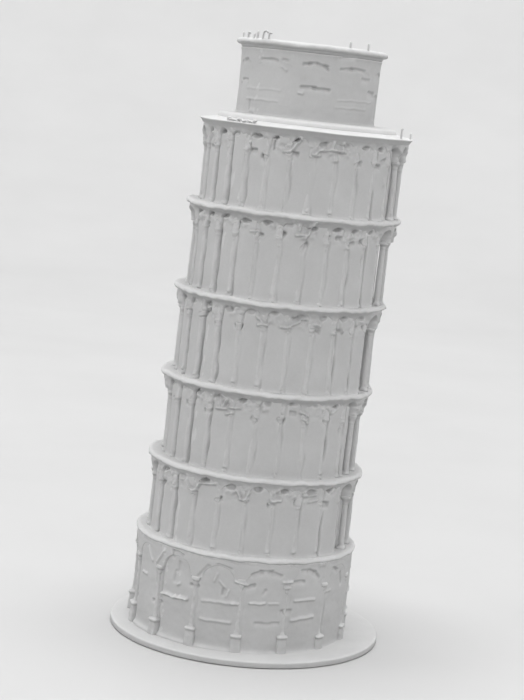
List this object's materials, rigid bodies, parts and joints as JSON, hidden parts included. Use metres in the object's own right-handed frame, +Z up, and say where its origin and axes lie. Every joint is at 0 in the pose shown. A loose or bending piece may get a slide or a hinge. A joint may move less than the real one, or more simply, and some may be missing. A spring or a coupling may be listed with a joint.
{
  "type": "miniature landmark model",
  "caption": "Desk-top model of a round leaning bell tower: tiers of columns and arches under a narrower belfry, on a thin round base.",
  "frame": {"origin": "centre of the base disc's underside", "axes": "+Z up, +X the way the tower leans, -Y towards the front"},
  "size_m": [0.08, 0.08, 0.1755],
  "materials": {
    "base_stone": "matte",
    "wall_stone": "matte",
    "trim_stone": "matte",
    "railing_wire": "matte",
    "rod_steel": "satin"
  },
  "bodies": {
    "root": {"base_disc": "base_stone", "belfry_cornice": "trim_stone", "belfry_railing_posts": "railing_wire", "belfry_roof": "wall_stone", "belfry_wall": "wall_stone", "gallery_1_arcade": "trim_stone", "gallery_1_columns": "trim_stone", "gallery_1_cornice": "trim_stone", "gallery_1_wall": "wall_stone", "gallery_2_arcade": "trim_stone", "gallery_2_columns": "trim_stone", "gallery_2_cornice": "trim_stone", "gallery_2_wall": "wall_stone", "gallery_3_arcade": "trim_stone", "gallery_3_columns": "trim_stone", "gallery_3_cornice": "trim_stone", "gallery_3_wall": "wall_stone", "gallery_4_arcade": "trim_stone", "gallery_4_columns": "trim_stone", "gallery_4_cornice": "trim_stone", "gallery_4_wall": "wall_stone", "gallery_5_arcade": "trim_stone", "gallery_5_columns": "trim_stone", "gallery_5_cornice": "trim_stone", "gallery_5_wall": "wall_stone", "ground_arcade": "trim_stone", "ground_cornice": "trim_stone", "ground_half_columns": "trim_stone", "ground_wall": "wall_stone", "rod_nut": "rod_steel", "rod_washer": "rod_steel", "terrace_plinth": "trim_stone", "terrace_railing_posts": "railing_wire", "tie_rod": "rod_steel"}
  },
  "joints": []
}
